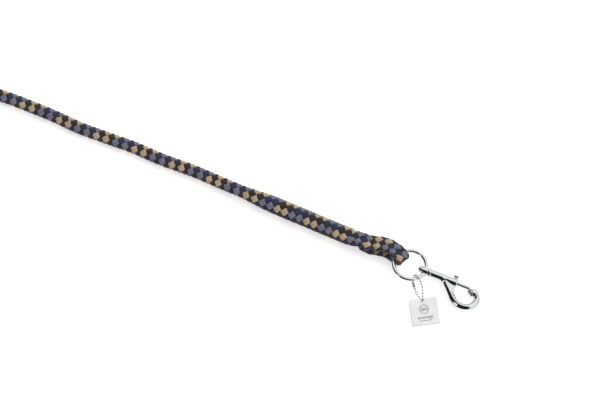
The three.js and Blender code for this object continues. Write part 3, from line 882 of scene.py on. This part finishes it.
def chain_connector():
    """A sprung sleeve with a slit along it, rolled round two balls."""
    (a, _, _), (b, _, _) = bead_place(15), bead_place(16)
    half, inner, outer, sides = 3.2, BEAD_R + 0.3, BEAD_R + 0.66, 40
    angle = np.linspace(math.radians(16), math.radians(344), sides)
    xs = [-half, -half + 0.25, -1.3, 0, 1.3, half - 0.25, half]
    pinch = [-0.25, 0, 0, -0.12, 0, 0, -0.25]
    shells = []
    for r in (outer, inner):
        rims = [np.stack([np.full(sides, x), (r + d) * np.cos(angle), (r + d) * np.sin(angle)], -1)
                for x, d in zip(xs, pinch)]
        shells.append(np.stack(rims))
    points = np.concatenate([shell.reshape(-1, 3) for shell in shells])
    rows, block = len(xs), len(xs) * sides

    def at(shell, i, k):
        return shell * block + i * sides + k

    faces = []
    for i in range(rows - 1):
        for k in range(sides - 1):
            faces.append([at(0, i, k), at(0, i, k + 1), at(0, i + 1, k + 1), at(0, i + 1, k)])
            faces.append([at(1, i, k), at(1, i + 1, k), at(1, i + 1, k + 1), at(1, i, k + 1)])
        for k, flip in ((0, False), (sides - 1, True)):
            edge = [at(0, i, k), at(0, i + 1, k), at(1, i + 1, k), at(1, i, k)]
            faces.append(edge[::-1] if flip else edge)
    for k in range(sides - 1):
        faces.append([at(0, 0, k + 1), at(0, 0, k), at(1, 0, k), at(1, 0, k + 1)])
        faces.append([at(0, rows - 1, k), at(0, rows - 1, k + 1), at(1, rows - 1, k + 1), at(1, rows - 1, k)])
    piece("chain_clasp", placed(points, aimed((a + b) / 2, unit(b - a))), faces, [CHAIN_METAL], "chain",
          ["chain_connector"])


TAG_SIDE = 30.5
TAG_THICK = 1.0
TAG_HOLE_R = 1.8
TAG_HOLE_INSET = 3.0
TAG_TILT = math.radians(7.4)
TAG_MIDDLE = TAG_HOLE_INSET - TAG_SIDE / 2


def tag_frame():
    hinge = joint("tag_swing")
    along = -Vector(hinge["axis"]).normalized()
    across = Vector((-along.y, along.x, 0))
    up = across * math.cos(TAG_TILT) + Vector((0, 0, math.sin(TAG_TILT)))
    return Matrix.Translation(hinge["pos_m"]) @ Matrix((along, up, along.cross(up))).transposed().to_4x4()


def engraving(x, y):
    """Distance to the engraved lines: a twist of rope in a ring, a row of diamonds and a rule."""
    up = y - 2.6
    emblem = np.abs(np.hypot(x, up) - 4.8) - 0.22
    wave = 1.3 * np.sin(x * math.pi / 2.4)
    twist = np.maximum(np.minimum(np.abs(up - wave), np.abs(up + wave)) / 1.5 - 0.2, np.abs(x) - 3.6)
    cell = np.abs(np.mod(x, 2.8) - 1.4)
    diamonds = np.maximum(np.abs(cell + np.abs(y + 7.0) - 1.25) / 1.4 - 0.18, np.abs(x) - 8.5)
    rule = np.maximum(np.abs(y + 10.4) - 0.2, np.abs(x) - 6.5)
    return np.minimum(np.minimum(emblem, twist), np.minimum(diamonds, rule))


def tag_distance(p):
    x, y, z = p[:, 0], p[:, 1] - TAG_MIDDLE, p[:, 2]
    half = TAG_SIDE / 2
    outline = round_block(np.abs(x) - half, np.abs(y) - half, ease=0.8)
    outline = np.maximum(outline, TAG_HOLE_R - np.hypot(p[:, 0], p[:, 1]))
    plate = round_block(outline, np.abs(z) - TAG_THICK / 2, ease=0.3)
    groove = np.maximum(engraving(x, y), TAG_THICK / 2 - 0.1 - z)
    return np.maximum(plate, -groove)


TAG_METAL = brushed("tag_brushed", (0.9, 0.9, 0.9, 1), 0.3, math.radians(30.8))


def name_tag():
    half = TAG_SIDE / 2 + 0.6
    points, quads, normals = skin(tag_distance, (-half, TAG_MIDDLE - half, -0.9),
                                  (half, TAG_MIDDLE + half, 0.9), 0.22)
    middle = points[quads].mean(axis=1)
    # The faces inside the engraved grooves get a mid grey: painted shade in the grooves.
    engraved = (engraving(middle[:, 0], middle[:, 1] - TAG_MIDDLE) < 0.02) & (middle[:, 2] > 0.2)
    # Faces that turn away from the plate's flat get a dark grey: painted shade along the plate's edge.
    edge_painted_shade = np.abs(normals[quads].mean(axis=1)[:, 2]) < 0.85
    which = np.where(engraved, 1, np.where(edge_painted_shade, 2, 0))
    # The mid grey is painted shade in the grooves and the dark grey is painted shade along the edge.
    materials = [TAG_METAL, brushed("tag_groove_painted_shade", (0.5, 0.5, 0.5, 1), 0.5, 0.0),
                 brushed("tag_edge_painted_shade", (0.42, 0.42, 0.43, 1), 0.3, 0.0)]
    frame_now = tag_frame()
    piece("name_tag_plate", placed(points, frame_now), quads.tolist(), materials, "tag",
          ["name_tag"], which, None, normals @ np.array(frame_now)[:3, :3].T)


# ---- what is on the rope's far end ----
def twine_material():
    n = Nodes("waxed_twine")
    place = n.add("TexCoord").outputs["Object"]
    lay = n.add("TexWave", {"Vector": place, "Scale": 900.0, "Distortion": 1.5, "Detail": 2.0},
                wave_type="BANDS", bands_direction="DIAGONAL").outputs["Fac"]
    tone = n.ramp(lay, [(0.1, linear(20, 22, 34)), (0.9, linear(44, 48, 68))])
    bump = n.add("Bump", {"Height": lay, "Strength": 0.4, "Distance": 0.0002}).outputs["Normal"]
    n.to_shader(Base_Color=tone, Roughness=0.62, Normal=bump, Specular_IOR_Level=0.35)
    return n.material


def melted_material():
    n = Nodes("fused_fibre")
    place = n.add("TexCoord").outputs["Object"]
    run = n.add("TexNoise", {"Vector": n.stretched(place, (0.4, 1, 1)), "Scale": 380.0, "Detail": 4.0,
                             "Distortion": 1.2}).outputs["Fac"]
    tone = n.ramp(run, [(0.36, linear(26, 25, 34)), (0.5, linear(52, 52, 74)), (0.6, linear(62, 52, 46)),
                        (0.72, linear(130, 106, 72))])
    bump = n.add("Bump", {"Height": run, "Strength": 0.5, "Distance": 0.0006}).outputs["Normal"]
    n.to_shader(Base_Color=tone, Roughness=0.34, Normal=bump, Specular_IOR_Level=0.5)
    return n.material


def webbing_material():
    n = Nodes("tie_webbing")
    uv = n.add("TexCoord").outputs["UV"]
    ribs = n.add("TexWave", {"Vector": n.stretched(uv, (1.9, 0, 0)), "Scale": 1.0, "Distortion": 0.4},
                 wave_type="BANDS", bands_direction="X").outputs["Fac"]
    warp = n.add("TexWave", {"Vector": n.stretched(uv, (0, 2.4, 0)), "Scale": 1.0, "Distortion": 0.6},
                 wave_type="BANDS", bands_direction="Y").outputs["Fac"]
    weave = n.add("Math", {0: ribs, 1: warp}, operation="MULTIPLY").outputs["Value"]
    tone = n.ramp(weave, [(0.05, linear(16, 16, 19)), (0.6, linear(42, 42, 48))])
    bump = n.add("Bump", {"Height": weave, "Strength": 0.6, "Distance": 0.0004}).outputs["Normal"]
    n.to_shader(Base_Color=tone, Roughness=0.8, Normal=bump, Sheen_Weight=0.15)
    return n.material


def end_frame():
    return Matrix.Translation(Vector(HANK_CENTRE + [0, -UPPER_TURN_R, WHIPPING_Z]) * MM)


def whipping():
    """Twine wound tight round the rope's end, turn against turn, with both ends tucked under."""
    twine, turns = 0.82, 14
    line = helix(WHIPPING_START + twine, WHIPPING_END - twine, WHIPPING_R - twine, turns)
    tuck = smooth_step(0, 1, np.minimum(np.arange(len(line)), np.arange(len(line))[::-1]) / 16)
    line[:, 1:] *= (0.86 + 0.14 * tuck)[:, None]
    points, faces = rod(line, twine, 10)
    return piece("end_whipping_twine", placed(points, end_frame()), faces, [twine_material()], "root",
                 ["end_whipping"])


def fused_tip():
    start = WHIPPING_END + 0.3
    profile = [[start, 0], [start, 6.5], [start + 1.2, 6.7], [start + 2.6, 6.3], [start + 4.0, 5.0],
               [start + 4.9, 3.0], [start + 5.3, 1.2], [start + 5.1, 0]]

    def lobes(x, angle):
        return 1 - 0.05 * np.cos(8 * angle + 0.4) - 0.03 * np.sin(3 * angle + x)

    return turned_piece("fused_tip_melted", profile, 0.6, end_frame(), melted_material(), "root",
                        ["fused_tip"], 64, lobes)


def hank_tie(name, side):
    """A webbing strap drawn round three runs of the rope, its end lapped over its start."""
    centres = np.array([[INNER_TURN_R, LOWER_Z], [OUTER_TURN_R, LOWER_Z], [UPPER_TURN_R, UPPER_Z]])
    thick, width, reach = 1.2, 14.0, ROPE_R + 0.3 + 0.6
    outline = []
    for i, centre in enumerate(centres):
        before, after = centre - centres[i - 1], centres[(i + 1) % 3] - centre
        start, stop = (math.atan2(-v[0], v[1]) for v in (before, after))
        stop += 2 * math.pi * (stop < start)
        bend = np.linspace(start, stop, 12)
        outline += [centre + reach * np.array([math.cos(a), math.sin(a)]) for a in bend]
    outline = np.roll(np.array(outline), -28, axis=0)
    loop = spaced(np.pad(np.vstack([outline, outline[:1]]), ((0, 0), (0, 1))), 1.5)
    loop = np.vstack([loop, loop[1:14]])
    lap = thick * 1.02 * smooth_step(len(loop) - 22, len(loop) - 14, np.arange(len(loop)))
    along = unit(np.gradient(loop, axis=0))
    out = np.stack([along[:, 1], -along[:, 0]], axis=1)
    middle = loop[:, :2] + out * lap[:, None]
    profile = [(-0.5, -0.35), (-0.48, -0.5), (0.48, -0.5), (0.5, -0.35), (0.5, 0.35), (0.48, 0.5),
               (-0.48, 0.5), (-0.5, 0.35)]
    rings = np.array([[[w * width, *(m + o * h * thick)] for w, h in profile] for m, o in zip(middle, out)])
    rings[:, :, 1] *= side
    n, count = len(profile), len(rings)
    length = measured(loop)
    faces, uv = [], []
    for i in range(count - 1):
        for k in range(n):
            j = (k + 1) % n
            quad = [i * n + k, (i + 1) * n + k, (i + 1) * n + j, i * n + j]
            near, far = profile[k][0] * width, profile[j][0] * width
            corner = list(zip([length[i], length[i + 1], length[i + 1], length[i]], [near, near, far, far]))
            faces.append(quad if side > 0 else quad[::-1])
            uv += corner if side > 0 else corner[::-1]
    for ends in (list(range(n)), list(range((count - 1) * n, count * n))[::-1]):
        faces.append(ends if side > 0 else ends[::-1])
        uv += [(0, 0)] * n
    points = (rings.reshape(-1, 3) + HANK_CENTRE) * MM
    return piece(f"hank_strap_{name}", points, faces, [WEBBING], "root",
                 [f"hank_tie_{name}"], None, uv)


WEBBING = webbing_material()


# ---- stage ----
WHITE = 1.05


def studio():
    """A white table in a white tent that is dark over its front, with a dark line round it near the table."""
    scene = bpy.context.scene
    scene.view_settings.view_transform = "Standard"
    world = bpy.data.worlds.new("studio")
    scene.world = world
    n = Nodes("studio", world)
    way = n.add("SeparateXYZ", {"Vector": n.add("TexCoord").outputs["Generated"]})
    x, y, z = (way.outputs[k] for k in "XYZ")
    towards = n.sum_of("SUBTRACT", n.sum_of("MULTIPLY", y, -0.866), n.sum_of("MULTIPLY", x, 0.5))
    front = n.sum_of("MULTIPLY", n.between(towards, 0.0, 0.1), n.between(z, 0.03, 0.08))
    front = n.sum_of("MULTIPLY", front, n.between(x, 0.75, 0.65))
    # A light gap in the dark front, and a grey strip at the back.
    azimuth = n.sum_of("ARCTAN2", y, x)
    gap = n.sum_of("MULTIPLY", n.between(azimuth, -2.42, -2.36), n.between(azimuth, -2.02, -2.08))
    gap = n.sum_of("MULTIPLY", gap, n.between(z, 0.8, 0.7))
    front = n.sum_of("MULTIPLY", front, n.sum_of("SUBTRACT", 1.0, gap))
    line = n.sum_of("MULTIPLY", n.between(z, 0.2, 0.1), 0.8)
    back = n.sum_of("MULTIPLY", n.between(z, 0.3, 0.36), n.between(z, 0.5, 0.44))
    back = n.sum_of("MULTIPLY", n.sum_of("MULTIPLY", back, n.between(y, 0.1, 0.3)), 0.5)
    dark = n.sum_of("MAXIMUM", n.sum_of("MAXIMUM", front, line), back)
    level = n.add("MapRange", {"Value": dark, "To Min": WHITE, "To Max": 0.02}).outputs["Result"]
    # The tent lights and mirrors, but the background behind the object is plain white.
    seen = n.add("LightPath").outputs["Is Camera Ray"]
    level = n.add("Mix", {"Factor": seen, "A": level, "B": 1.0}, data_type="FLOAT").outputs["Result"]
    n.to_shader(Color=(1, 1, 1, 1), Strength=level)
    mesh = bpy.data.meshes.new("floor")
    half = 14.0
    corners = [(-half, -half, 0), (half, -half, 0), (half, half, 0), (-half, half, 0)]
    mesh.from_pydata(corners, [], [(0, 1, 2, 3)])
    floor = bpy.data.objects.new("floor", mesh)
    scene.collection.objects.link(floor)
    n = Nodes("white_sweep")
    n.to_shader(Base_Color=(0.9, 0.9, 0.9, 1), Roughness=0.9, Specular_IOR_Level=0.1,
                Emission_Color=(1, 1, 1, 1), Emission_Strength=0.5)
    mesh.materials.append(n.material)
    data = bpy.data.lights.new("overhead", "AREA")
    data.shape, data.size, data.energy = "DISK", 6.0, 45.0
    overhead = bpy.data.objects.new("overhead", data)
    overhead.location = (0, 0, 3)
    overhead.visible_glossy = False
    scene.collection.objects.link(overhead)


camera()
CORD, CORD_LINE = rope()
ON_CORD = [whipping(), fused_tip(), hank_tie("far", 1), hank_tie("near", -1)]
swivel_ring()
swivel_pin()
snap_body()
bolt()
thumb_knob()
bolt_spring()
ball_chain()
chain_connector()
name_tag()
studio()
